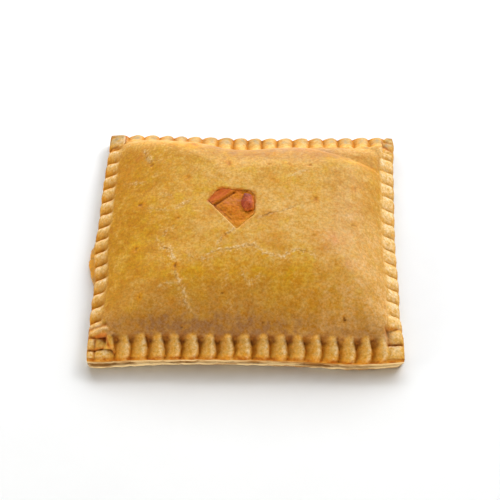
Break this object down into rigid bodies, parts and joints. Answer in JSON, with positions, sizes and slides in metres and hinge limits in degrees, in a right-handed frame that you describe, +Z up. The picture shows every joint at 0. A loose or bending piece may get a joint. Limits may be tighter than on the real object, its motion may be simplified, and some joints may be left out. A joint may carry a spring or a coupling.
{
  "type": "chicken empanada",
  "caption": "Baked rectangular chicken empanada: a low puffed pie of two dough sheets, crimped all round, with a slashed vent in its top showing orange filling.",
  "frame": {"origin": "centre of the footprint, on the surface that the pie stands on", "axes": "+X along the longer side, to the right in the picture; +Y away from the viewer; +Z up"},
  "size_m": [0.1288, 0.1148, 0.0244],
  "materials": {
    "baked_crust": "egg-washed baked dough, golden brown, satin on top",
    "pale_dough": "pale baked dough, matte and slightly layered at the edge",
    "orange_filling": "moist cooked filling, orange, slightly glossy",
    "browned_chunk": "browned piece of the filling, dark red-brown, slightly glossy"
  },
  "bodies": {
    "root": {"top_sheet": "baked_crust", "bottom_sheet": "pale_dough", "filling": "orange_filling", "filling_chunk": "browned_chunk"}
  },
  "joints": []
}
